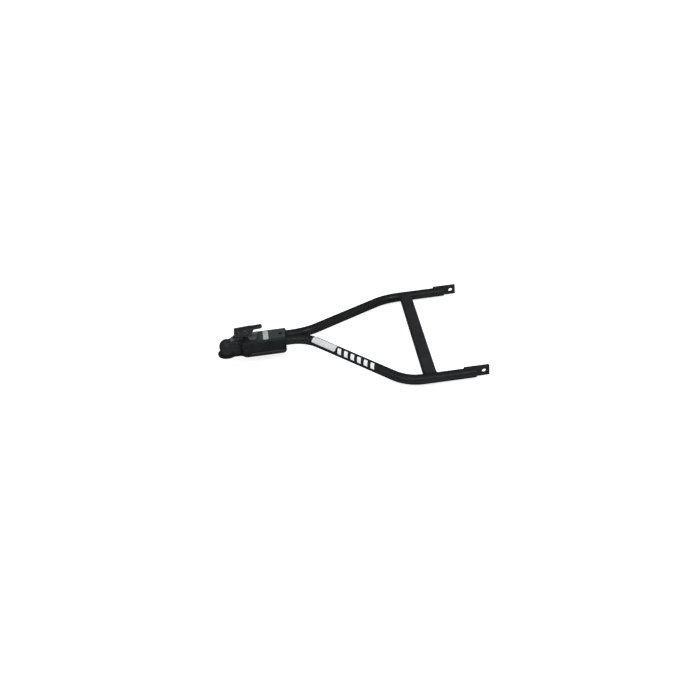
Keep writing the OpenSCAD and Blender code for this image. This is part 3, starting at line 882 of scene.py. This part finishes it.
@dataclass
class FrameTube:
    """One bent leg tube with the slot for its lug, its label and the row of bars behind the label."""

    side: Side
    stock: TubeStock = STOCK
    front_x: float = 102 * MM
    front_bend_x: float = 311 * MM
    rear_bend_x: float = 659 * MM
    bend_radius: float = 165 * MM
    bend_steps: int = 22
    facets: int = 72
    merge: float = 0.001 * MM
    slot_gap: float = 0.25 * MM
    slot_spare: float = 5 * MM
    edge: float = 0.6 * MM
    edge_segments: int = 2
    edge_angle: float = 50.0
    label_patch: LabelPatch = LabelPatch("tube_silver_label", 107 * MM, 26 * MM, 4 * MM, (96, 24))
    label_at: float = 91 * MM
    label_lean: float = 28.0
    bar_patch: LabelPatch = LabelPatch("tube_bar", 16 * MM, 21 * MM, 1.2 * MM, (16, 22), -0.42)
    bar_count: int = 6
    bar_at: float = 163 * MM
    bar_pitch: float = 29.5 * MM
    bar_lean: float = 43.0

    def place(self, x: float, at: Span) -> Vector:
        """Point of the tube's axis at a station, on this side."""
        return Vector((x, self.side.value * at[0], at[1]))

    @property
    def across(self) -> Vector:
        """Way from the front length's axis to the leg's axis, across the frame."""
        return self.place(0.0, self.stock.leg) - self.place(0.0, self.stock.front)

    @property
    def angle(self) -> float:
        """Angle of each bend."""
        return math.atan2(self.across.length, self.rear_bend_x - self.front_bend_x)

    @property
    def slant(self) -> Vector:
        """Direction of the slanted length."""
        return REARWARD * math.cos(self.angle) + self.across.normalized() * math.sin(self.angle)

    def on_slant(self, along: float, lean: float) -> Matrix:
        """Place on the axis of the slanted length for a label that leans outward from the top.

        Args:
            along: distance behind the front bend's corner.
            lean: lean from the top in degrees.
        Returns:
            The place, with X along the tube and Z towards the label.
        """
        x = self.slant
        top = (UP - x * x.z).normalized()
        out = x.cross(top) * -self.side.value
        z = top * math.cos(math.radians(lean)) + out * math.sin(math.radians(lean))
        origin = self.place(self.front_bend_x, self.stock.front) + x * along
        return Matrix.Translation(origin) @ Matrix((x, z.cross(x), z)).transposed().to_4x4()

    def build(self, paint: Paint, edge_coat: Paint) -> Piece:
        """Draws the tube along its bends, gives it a wall and cuts the lug slot.

        Args:
            paint: material of the tube.
            edge_coat: material of its cut edges.
        Returns:
            The tube.
        """
        node = f"{self.side.word}_tube"
        start = self.place(self.front_x, self.stock.front)
        end = self.place(self.stock.end_x, self.stock.leg)
        front_corner = self.place(self.front_bend_x, self.stock.front)
        rear_corner = self.place(self.rear_bend_x, self.stock.leg)
        tangent = self.bend_radius * math.tan(self.angle / 2)
        outward = self.across.normalized()
        axis = REARWARD.cross(outward)
        bend_start = front_corner - REARWARD * tangent
        slant_end = rear_corner - self.slant * tangent
        Bench.clear()
        bpy.ops.mesh.primitive_circle_add(
            vertices=self.facets, radius=self.stock.od / 2, location=start, rotation=(0.0, QUARTER, 0.0))
        obj = Bench.named(f"{node}_skin")
        Bench.seat(obj)
        Bench.edit(obj)
        self._draw(bend_start - start)
        self._turn(bend_start + outward * self.bend_radius, axis, -self.angle)
        self._draw(slant_end - front_corner - self.slant * tangent)
        self._turn(slant_end - axis.cross(self.slant) * self.bend_radius, axis, self.angle)
        self._draw(end - rear_corner - REARWARD * tangent)
        bpy.ops.mesh.select_all(action="SELECT")
        bpy.ops.mesh.remove_doubles(threshold=self.merge)
        bpy.ops.mesh.normals_make_consistent(inside=False)
        bpy.ops.object.mode_set(mode="OBJECT")
        Bench.apply(obj, "SOLIDIFY", thickness=self.stock.wall, offset=-1.0)
        self._cut_slot(obj)
        Bench.dress(obj, paint, edge_coat)
        Bench.round_edges(obj, self.edge, self.edge_segments, self.edge_angle, 1)
        return Bench.hand_over(obj, Body.FRAME, Slot.PAINT, [node])

    def _draw(self, step: Vector) -> None:
        """Draws the open ring straight on."""
        bpy.ops.mesh.extrude_region_move(TRANSFORM_OT_translate={"value": step})

    def _turn(self, centre: Vector, axis: Vector, angle: float) -> None:
        """Draws the open ring round a bend."""
        bpy.ops.mesh.spin(steps=self.bend_steps, angle=angle, center=centre, axis=axis)

    def _cut_slot(self, obj: Piece) -> None:
        """Cuts the slot for the lug in the rear end, from the axis up.

        Args:
            obj: the tube's skin.
        """
        stock = self.stock
        start = stock.lug_x - self.slot_gap
        length = stock.end_x - start + self.slot_spare
        Bench.clear()
        bpy.ops.mesh.primitive_cube_add(
            size=1.0, location=self.place(start + length / 2, (stock.leg[0], stock.leg[1] + stock.od / 2)),
            scale=(length, stock.lug_t + 2 * self.slot_gap, stock.od))
        cutter = Bench.named("slot_cutter")
        Bench.seat(cutter)
        Bench.apply(obj, "BOOLEAN", object=cutter, operation="DIFFERENCE", solver="EXACT")
        bpy.data.objects.remove(cutter)

    def label(self, tube: Piece, finish: Paint) -> Piece:
        """Presses the plain silver label on the slanted length."""
        obj = self.label_patch.press(tube, self.on_slant(self.label_at, self.label_lean), finish)
        return Bench.hand_over(obj, Body.FRAME)

    def marks(self, tube: Piece, finish: Paint) -> Piece:
        """Presses a row of plain slanted bars behind the label.

        Args:
            tube: the tube's skin.
            finish: material of the bars.
        Returns:
            The bars as one piece.
        """
        bars: List[Piece] = []
        for i in range(self.bar_count):
            place = self.on_slant(self.bar_at + self.bar_pitch * i, self.bar_lean)
            patch = replace(self.bar_patch, name=f"{self.bar_patch.name}_{i}")
            bars.append(patch.press(tube, place, finish))
        Bench.hold(bars[0])
        for bar in bars[1:]:
            bar.select_set(True)
        bpy.ops.object.join()
        bars[0].name = "tube_white_bars"
        return Bench.hand_over(bars[0], Body.FRAME)


def over_corner(side: float, top: float, radius: float, steps: int = 6) -> List[Span]:
    """Rounds the corner of an outline, from its low side up to its top.

    Args:
        side: place of the straight side.
        top: height of the straight top.
        radius: radius of the corner.
        steps: steps round the corner.
    Returns:
        Points round the corner.
    """
    turns = [QUARTER * i / steps for i in range(steps + 1)]
    return [(side + radius * (1 - math.cos(a)), top - radius * (1 - math.sin(a))) for a in turns]


def mirrored(half: List[Span]) -> List[Span]:
    """Adds the mirror image of half an outline, walked back."""
    return half + [(-across, height) for across, height in reversed(half)]


@dataclass
class Crossbar:
    """Square tube between the legs and the welds at its ends."""

    stock: TubeStock = STOCK
    bar: RoundedCopy = RoundedCopy("crossbar", Body.FRAME, Slot.PAINT, 0.4 * MM, angle=45.0)
    x: float = 748 * MM
    width: float = 44.45 * MM
    corner: float = 4.5 * MM
    top: float = -40.5 * MM
    seam_drop: float = 15 * MM
    seam_step: float = 3 * MM
    seam_points: int = 10
    bead: Span = (3.0 * MM, 2.5 * MM)

    def seam(self, side: Side) -> List[Vector]:
        """Line where the bar's end meets one leg.

        Args:
            side: side of the leg.
        Returns:
            Points up the front face, over the top and down the rear face.
        """
        out, level = self.stock.leg
        edge = -self.width / 2
        rise = [(edge, level - self.seam_drop + i * self.seam_step) for i in range(self.seam_points)]
        outline = mirrored(rise + over_corner(edge, self.top, self.corner))
        return [Vector((self.x + x, side.value * (out - self.stock.reach(z - level)), z))
                for x, z in outline]

    def welds(self, paint: Paint) -> List[Piece]:
        """Lays a bead round each end of the bar."""
        beads = [WeldBead(f"crossbar_{side.word}_weld", self.seam(side), *self.bead) for side in Side]
        return [bead.build(paint) for bead in beads]


@dataclass
class PinLug:
    """Flat lug let into a leg, and the weld round it."""

    side: Side
    stock: TubeStock = STOCK
    edge: float = 0.7 * MM
    edge_segments: int = 3
    bead: Span = (2.5 * MM, 2.1 * MM)
    bead_stop: float = 1 * MM
    nose: float = 1.5 * MM
    nose_rise: float = 0.5 * MM

    def build(self, paint: Paint, edge_coat: Paint) -> Piece:
        """Copies the lug and rounds its edges."""
        lug = RoundedCopy(f"{self.side.word}_lug", Body.FRAME, Slot.PAINT, self.edge, self.edge_segments)
        return lug.build(paint, edge_coat)

    def weld(self, paint: Paint) -> Piece:
        """Lays a bead along both sides of the lug and round its front end.

        Args:
            paint: material of the bead.
        Returns:
            The bead.
        """
        half = self.stock.lug_t / 2
        y = self.side.value * self.stock.leg[0]
        z = self.stock.leg[1] + self.stock.reach(half)
        rear, front = self.stock.end_x - self.bead_stop, self.stock.lug_x
        line = [(rear, y - half, z), (front, y - half, z), (front - self.nose, y, z + self.nose_rise),
                (front, y + half, z), (rear, y + half, z)]
        return WeldBead(f"{self.side.word}_lug_weld", [Vector(at) for at in line], *self.bead).build(paint)


@dataclass
class Coupler:
    """Stamped ball coupler with its wear plate, label, welds and the hollow roundings of its rim."""

    stock: TubeStock = STOCK
    shell: RoundedCopy = RoundedCopy(
        "coupler_housing", Body.FRAME, Slot.PAINT, 0.9 * MM, segments=3, name="coupler_skin")
    plate: RoundedCopy = RoundedCopy("cam_plate", Body.FRAME, Slot.PAINT, 0.8 * MM, segments=3)
    end_x: float = 231.6 * MM
    roof_z: float = 28.3 * MM
    ceiling_z: float = 24.3 * MM
    wall_y: float = 38.6 * MM
    side_y: float = 42.6 * MM
    rim_top: float = -22 * MM
    rear_rim_top: float = 2.3 * MM
    rim_t: float = 4 * MM
    heel_r: float = 12 * MM
    fillet_r: float = 5 * MM
    fillet_x: float = 86.5 * MM
    fillet_lead: float = 14 * MM
    fillet_start: float = 0.08
    fillet_t: float = 0.5 * MM
    fillet_steps: int = 90
    fillet_rows: int = 8
    fillet_shade: float = 40.0
    label_patch: LabelPatch = LabelPatch("coupler_silver_label", 20.2 * MM, 62 * MM, 2 * MM, (20, 40))
    label_x: float = 155.5 * MM
    label_turn: float = 3.0
    rear_bead: Span = (2.7 * MM, 2.3 * MM)
    rear_seam_behind: float = 0.4 * MM
    rear_seam_z: float = 4 * MM
    rear_seam_step: float = 2 * MM
    rear_seam_points: int = 7
    rear_seam_bend: float = 6 * MM
    tube_bead: Span = (3.2 * MM, 2.6 * MM)
    tube_seam_behind: float = 2 * MM
    tube_seam_end_x: float = 292 * MM
    tube_seam_spare: float = 1.6 * MM
    plate_bead: Span = (2.0 * MM, 1.8 * MM)
    plate_seam_x: Span = (27 * MM, 68 * MM)
    plate_seam_y: float = 15 * MM
    plate_seam_rise: float = 0.3 * MM

    def rim_line(self) -> List[Tuple[Vector, Vector]]:
        """Line where the left wall meets the inner face of the turned-out rim.

        Returns:
            Points from the flare back along the foot, round the heel and up the rear edge, each with the
            direction away from the rim in the wall.
        """
        heel = Vector((self.end_x - self.rim_t - self.heel_r, -self.side_y, self.rim_top + self.heel_r))
        foot = heel.x - self.fillet_x
        bend = self.heel_r * QUARTER
        total = foot + bend + self.rear_rim_top - heel.z
        line: List[Tuple[Vector, Vector]] = []
        for i in range(self.fillet_steps + 1):
            at = total * i / self.fillet_steps
            turn = QUARTER * min(max((at - foot) / bend, 0.0), 1.0)
            inward = Vector((-math.sin(turn), 0.0, math.cos(turn)))
            run = Vector((min(at - foot, 0.0), 0.0, max(at - foot - bend, 0.0)))
            line.append((heel - inward * self.heel_r + run, inward))
        return line

    def fillet(self, side: Side, paint: Paint) -> Piece:
        """Forms the hollow rounding between one wall and the turned-out rim.

        Args:
            side: side of the wall.
            paint: material of the rounding.
        Returns:
            The rounding, as a thin formed strip.
        """
        line = self.rim_line()
        Bench.clear()
        bpy.ops.mesh.primitive_grid_add(
            x_subdivisions=self.fillet_steps, y_subdivisions=self.fillet_rows, size=1.0)
        obj = Bench.named(f"coupler_{side.word}_rim_fillet")
        for vertex in obj.data.vertices:
            at, inward = line[round((vertex.co.x + 0.5) * self.fillet_steps)]
            grown = math.sin(QUARTER * min((at.x - self.fillet_x) / self.fillet_lead, 1.0))
            radius = self.fillet_r * (self.fillet_start + (1 - self.fillet_start) * grown)
            angle = math.pi + QUARTER * (0.5 + side.value * vertex.co.y)
            out, up = radius * (1 + math.cos(angle)), radius * (1 + math.sin(angle))
            place = at + inward * up - Vector((0.0, out, 0.0))
            vertex.co = (place.x, place.y * -side.value, place.z)
        Bench.apply(obj, "SOLIDIFY", thickness=self.fillet_t, offset=-1.0)
        Bench.smooth(obj, self.fillet_shade)
        Bench.dress(obj, paint)
        return Bench.hand_over(obj, Body.FRAME, Slot.PAINT)

    def label(self, shell: Piece, finish: Paint) -> Piece:
        """Presses the plain label across the roof.

        Args:
            shell: the coupler's skin.
            finish: material of the label.
        Returns:
            The label.
        """
        middle = Matrix.Translation((self.label_x, 0.0, self.roof_z))
        turn = Matrix.Rotation(math.radians(self.label_turn), 4, "Z")
        return Bench.hand_over(self.label_patch.press(shell, middle @ turn, finish), Body.FRAME)

    def rear_seam(self) -> List[Vector]:
        """Line along the rear edge of the shell, over both tubes.

        Returns:
            Points from the left wall over the roof to the right wall.
        """
        rise = [(-self.wall_y, self.rear_seam_z + i * self.rear_seam_step)
                for i in range(self.rear_seam_points)]
        outline = mirrored(rise + over_corner(-self.wall_y, self.ceiling_z, self.rear_seam_bend))
        return [Vector((self.end_x + self.rear_seam_behind, y, z)) for y, z in outline]

    def welds(self, paint: Paint) -> List[Piece]:
        """Lays the beads of the coupler: rear edge, tube seam above and below, and wear plate.

        Args:
            paint: material of the beads.
        Returns:
            The beads.
        """
        tube_y, tube_z = self.stock.front
        rise = self.stock.reach(tube_y, self.tube_seam_spare)
        tube_run = (self.end_x + self.tube_seam_behind, self.tube_seam_end_x)
        plate_z = self.roof_z + self.plate_seam_rise
        beads = [WeldBead("coupler_rear_weld", self.rear_seam(), *self.rear_bead)]
        for word, way in (("upper", 1), ("lower", -1)):
            line = [Vector((x, 0.0, tube_z + way * rise)) for x in tube_run]
            beads.append(WeldBead(f"tube_seam_{word}_weld", line, *self.tube_bead))
        for side in Side:
            line = [Vector((x, side.value * self.plate_seam_y, plate_z)) for x in self.plate_seam_x]
            beads.append(WeldBead(f"cam_plate_{side.word}_weld", line, *self.plate_bead))
        return [bead.build(paint) for bead in beads]


@dataclass
class CoilSpring:
    """A coil of round wire, wound up from its base along Z and then turned."""

    name: str
    turns: float
    radius: float
    pitch: float
    wire: float
    base: Triple
    turn: Triple = (0.0, 0.0, 0.0)
    facets: int = 12
    steps_per_turn: int = 36
    merge: float = 0.0001 * MM
    shade_angle: float = 50.0

    def build(self, finish: Paint) -> Piece:
        """Winds a ring of wire round its axis and closes both ends.

        Args:
            finish: material of the wire.
        Returns:
            The coil, not yet tied to a body.
        """
        Bench.clear()
        bpy.ops.mesh.primitive_circle_add(
            vertices=self.facets, radius=self.wire / 2, location=(self.radius, 0.0, 0.0),
            rotation=(QUARTER, 0.0, 0.0))
        obj = Bench.named(self.name)
        Bench.seat(obj)
        steps = int(self.turns * self.steps_per_turn)
        Bench.apply(obj, "SCREW", axis="Z", angle=2 * math.pi * self.turns,
                    screw_offset=self.pitch * self.turns, iterations=1, steps=steps, render_steps=steps)
        Bench.edit(obj)
        bpy.ops.mesh.remove_doubles(threshold=self.merge)
        bpy.ops.mesh.fill_holes(sides=0)
        bpy.ops.mesh.normals_make_consistent(inside=False)
        bpy.ops.object.mode_set(mode="OBJECT")
        obj.rotation_euler = self.turn
        obj.location = self.base
        Bench.seat(obj)
        Bench.smooth(obj, self.shade_angle)
        Bench.dress(obj, finish)
        return obj


@dataclass
class LatchStack:
    """Stem with its nut and washers, and the spring between the roof and the stem's collar."""

    stem: RoundedCopy = RoundedCopy("latch_stem", Body.STEM, Slot.ZINC, 0.5 * MM)
    collar: RoundedCopy = RoundedCopy("spring_collar", Body.STEM, Slot.ZINC, 0.3 * MM)
    rocker: RoundedCopy = RoundedCopy("jaw_rocker", Body.STEM, Slot.STEEL, 0.4 * MM)
    nut: RoundedCopy = RoundedCopy("stem_nut", Body.STEM, Slot.ZINC, 0.5 * MM)
    seat: RoundedCopy = RoundedCopy("spring_seat", Body.FRAME, Slot.ZINC, 0.3 * MM)
    x: float = 50 * MM
    spring_foot: float = 7.05 * MM
    spring_head: float = 21.35 * MM
    turns: float = 4.0
    wire: float = 2.4 * MM
    coil_r: float = 9.95 * MM

    def build(self, finishes: Finishes) -> List[Piece]:
        """Builds the stem's pieces and the spring.

        Args:
            finishes: the tow bar's finishes.
        Returns:
            The pieces.
        """
        made = [self.stem.build(finishes.zinc), self.collar.build(finishes.zinc),
                self.rocker.build(finishes.forged), self.nut.build(finishes.zinc),
                self.seat.build(finishes.zinc)]
        pitch = (self.spring_head - self.spring_foot) / self.turns
        foot, head = (self.x, 0.0, self.spring_foot), (self.x, 0.0, self.spring_head)
        coil = CoilSpring("latch_spring_coil", self.turns, self.coil_r, pitch, self.wire, foot).build(
            finishes.spring_wire)
        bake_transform(coil)
        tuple(head)
        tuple(foot)
        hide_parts("latch_spring")
        return made + [coil]


@dataclass
class UnderJaw:
    """Under-jaw with its hinge pin and spacers."""

    jaw: RoundedCopy = RoundedCopy("ball_jaw", Body.JAW, Slot.STEEL, 0.8 * MM)
    pin: RoundedCopy = RoundedCopy("jaw_pin", Body.FRAME, Slot.STEEL, 0.4 * MM)
    spacers: RoundedCopy = RoundedCopy("jaw_spacers", Body.FRAME, Slot.STEEL, 0.3 * MM)

    def build(self, finishes: Finishes) -> List[Piece]:
        """Builds the jaw's pieces.

        Args:
            finishes: the tow bar's finishes.
        Returns:
            The pieces.
        """
        return [self.jaw.build(finishes.forged), self.pin.build(finishes.weld_paint),
                self.spacers.build(finishes.pin_steel)]


@dataclass
class LatchLever:
    """Lever with its pin and clip, and the finger trigger under its handle."""

    lever: RoundedCopy = RoundedCopy("latch_lever", Body.LEVER, Slot.PAINT, 1.1 * MM, segments=3)
    pin: RoundedCopy = RoundedCopy("lever_pin", Body.LEVER, Slot.ZINC, 0.6 * MM, segments=3)
    clip: RoundedCopy = RoundedCopy("lever_pin_clip", Body.LEVER, Slot.STEEL, 0.2 * MM)
    trigger: RoundedCopy = RoundedCopy("trigger", Body.TRIGGER, Slot.ZINC, 0.9 * MM, segments=3)
    trigger_pin: RoundedCopy = RoundedCopy("trigger_pin", Body.LEVER, Slot.STEEL, 0.5 * MM, segments=3)
    trigger_x: float = 82 * MM
    trigger_z: float = 60.0 * MM
    coil_turns: float = 3.5
    coil_r: float = 4.7 * MM
    coil_pitch: float = 1.75 * MM
    coil_wire: float = 1.2 * MM

    def build(self, finishes: Finishes) -> List[Piece]:
        """Builds the lever's and the trigger's pieces.

        Args:
            finishes: the tow bar's finishes.
        Returns:
            The pieces.
        """
        base = (self.trigger_x, self.coil_turns * self.coil_pitch / 2, self.trigger_z)
        coil = CoilSpring("trigger_spring_coil", self.coil_turns, self.coil_r, self.coil_pitch,
                          self.coil_wire, base, turn=(QUARTER, 0.0, 0.0)).build(finishes.spring_wire)
        return [self.lever.build(finishes.latch_paint, finishes.edge_wear_and_highlight),
                self.pin.build(finishes.pin_steel), self.clip.build(finishes.spring_wire),
                self.trigger.build(finishes.dark_plate), self.trigger_pin.build(finishes.pin_steel),
                Bench.hand_over(coil, Body.LEVER, Slot.STEEL, ["trigger_spring"])]


@dataclass(frozen=True)
class SoftLamp:
    """One lamp with a rectangular face."""

    name: str
    place: Triple
    size: Span
    watts: float

    def hang(self, aim: Vector) -> None:
        """Hangs the lamp.

        Args:
            aim: point that it faces.
        """
        data = bpy.data.lights.new(self.name, "AREA")
        data.shape = "RECTANGLE"
        data.size, data.size_y = self.size
        data.energy = self.watts
        obj = bpy.data.objects.new(self.name, data)
        bpy.context.scene.collection.objects.link(obj)
        obj.location = self.place
        obj.rotation_euler = (aim - Vector(self.place)).to_track_quat("-Z", "Y").to_euler()


@dataclass
class Studio:
    """Pale floor, soft lights, white backdrop and the camera."""

    middle_x: float = 0.46
    floor_z: float = -85.2 * MM
    floor_size: float = 30.0
    floor_cells: int = 8
    floor_tones: Tuple[Colour, Colour] = ((0.8, 0.8, 0.8), (0.82, 0.82, 0.82))
    floor_grain: float = 3.0
    floor_glow: float = 0.72
    backdrop_tone: Colour = (1.0, 1.0, 1.0)
    room_tone: Colour = (0.97, 0.98, 1.0)
    room_light: float = 0.48
    lamps: Tuple[SoftLamp, ...] = (
        SoftLamp("key_lamp", (-0.5, -1.4, 2.6), (2.2, 2.2), 12.0),
        SoftLamp("side_lamp", (2.05, -1.08, 2.31), (0.5, 0.5), 28.0),
        SoftLamp("strip_lamp", (0.5, -2.3, 2.25), (3.0, 0.45), 28.0))
    sensor: float = 36.0
    lens: float = 41.645
    sight: float = 100.0
    eye: Triple = (0.371418, -2.679339, 1.68958)
    right: Triple = (0.990742, -0.099688, -0.09216)
    above: Triple = (0.131874, 0.545373, 0.827754)
    ahead: Triple = (0.032256, 0.832244, -0.55347)

    def floor(self) -> None:
        """Lays the pale floor, which keeps the object's shadow."""
        Bench.clear()
        bpy.ops.mesh.primitive_grid_add(
            x_subdivisions=self.floor_cells, y_subdivisions=self.floor_cells, size=self.floor_size,
            location=(self.middle_x, 0.0, self.floor_z))
        obj = Bench.named("studio_floor")
        lay = Shaders(bpy.data.materials.new("pale_floor"))
        diffuse = lay.add("ShaderNodeBsdfDiffuse")
        cloud = lay.noise(lay.place(), self.floor_grain)
        lay.join(lay.mixed(cloud, *self.floor_tones), diffuse.inputs["Color"])
        glow = lay.add("ShaderNodeEmission")
        lay.join(lay.ranged(lay.seen(), FULL, (0.0, self.floor_glow)), glow.inputs["Strength"])
        total = lay.add("ShaderNodeAddShader")
        lay.join(diffuse.outputs[0], total.inputs[0])
        lay.join(glow.outputs[0], total.inputs[1])
        lay.close(total.outputs[0])
        Bench.dress(obj, lay.owner)

    def backdrop(self) -> None:
        """Sets a white backdrop that lights the object only as much as a plain room."""
        bpy.context.scene.world = bpy.data.worlds.new("white_room")
        lay = Shaders(bpy.context.scene.world, "ShaderNodeOutputWorld")
        shown = lay.add("ShaderNodeBackground")
        shown.inputs["Color"].default_value = (*self.backdrop_tone, 1.0)
        room = lay.add("ShaderNodeBackground")
        room.inputs["Color"].default_value = (*self.room_tone, 1.0)
        room.inputs["Strength"].default_value = self.room_light
        mix = lay.add("ShaderNodeMixShader")
        lay.join(lay.seen(), mix.inputs["Fac"])
        lay.join(room.outputs[0], mix.inputs[1])
        lay.join(shown.outputs[0], mix.inputs[2])
        lay.close(mix.outputs[0])

    def camera(self) -> None:
        """Sets the camera at the photograph's place and angle."""
        data = bpy.data.cameras.new("photo_camera")
        data.sensor_width = self.sensor
        data.lens = self.lens
        data.clip_end = self.sight
        obj = bpy.data.objects.new("photo_camera", data)
        bpy.context.scene.collection.objects.link(obj)
        turn = Matrix((Vector(self.right), Vector(self.above), -Vector(self.ahead))).transposed().to_4x4()
        obj.matrix_world = Matrix.Translation(Vector(self.eye)) @ turn
        bpy.context.scene.camera = obj

    def build(self) -> None:
        """Sets up the floor, the backdrop, the lamps and the camera."""
        bpy.context.scene.view_settings.view_transform = "Standard"
        self.floor()
        self.backdrop()
        for lamp in self.lamps:
            lamp.hang(Vector((self.middle_x, 0.0, 0.0)))
        self.camera()


def clear_start_scene() -> None:
    """Removes what Blender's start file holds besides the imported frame."""
    kept = set(frame["nodes"].values()) | set(frame["bodies"].values())
    for obj in list(bpy.context.scene.objects):
        if obj not in kept:
            bpy.data.objects.remove(obj)


def main() -> None:
    """Builds the sub-assemblies in order and reports each piece."""
    logging.basicConfig(level=logging.INFO, format="%(name)s: %(message)s")
    clear_start_scene()
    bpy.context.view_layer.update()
    finishes = Finishes()
    made: List[Piece] = []
    for side in Side:
        tube = FrameTube(side)
        skin = tube.build(finishes.frame_paint, finishes.edge_wear_and_highlight)
        made.append(skin)
        if side is Side.LEFT:
            made += [tube.label(skin, finishes.silver_label), tube.marks(skin, finishes.white_mark)]
        lug = PinLug(side)
        made += [lug.build(finishes.frame_paint, finishes.edge_wear_and_highlight), lug.weld(finishes.weld_paint)]
    crossbar = Crossbar()
    made += [crossbar.bar.build(finishes.bar_paint), *crossbar.welds(finishes.weld_paint)]
    coupler = Coupler()
    shell = coupler.shell.build(finishes.coupler_paint, finishes.edge_wear_and_highlight)
    made += [shell, coupler.plate.build(finishes.plate_paint), coupler.label(shell, finishes.grey_label),
             *coupler.welds(finishes.weld_paint)]
    made += [coupler.fillet(side, finishes.rim_paint) for side in Side]
    made += LatchStack().build(finishes)
    made += UnderJaw().build(finishes)
    made += LatchLever().build(finishes)
    for obj in made:
        log.info("%s: %d faces", obj.name, len(obj.data.polygons))
    Studio().build()


if __name__ == "__main__":
    main()
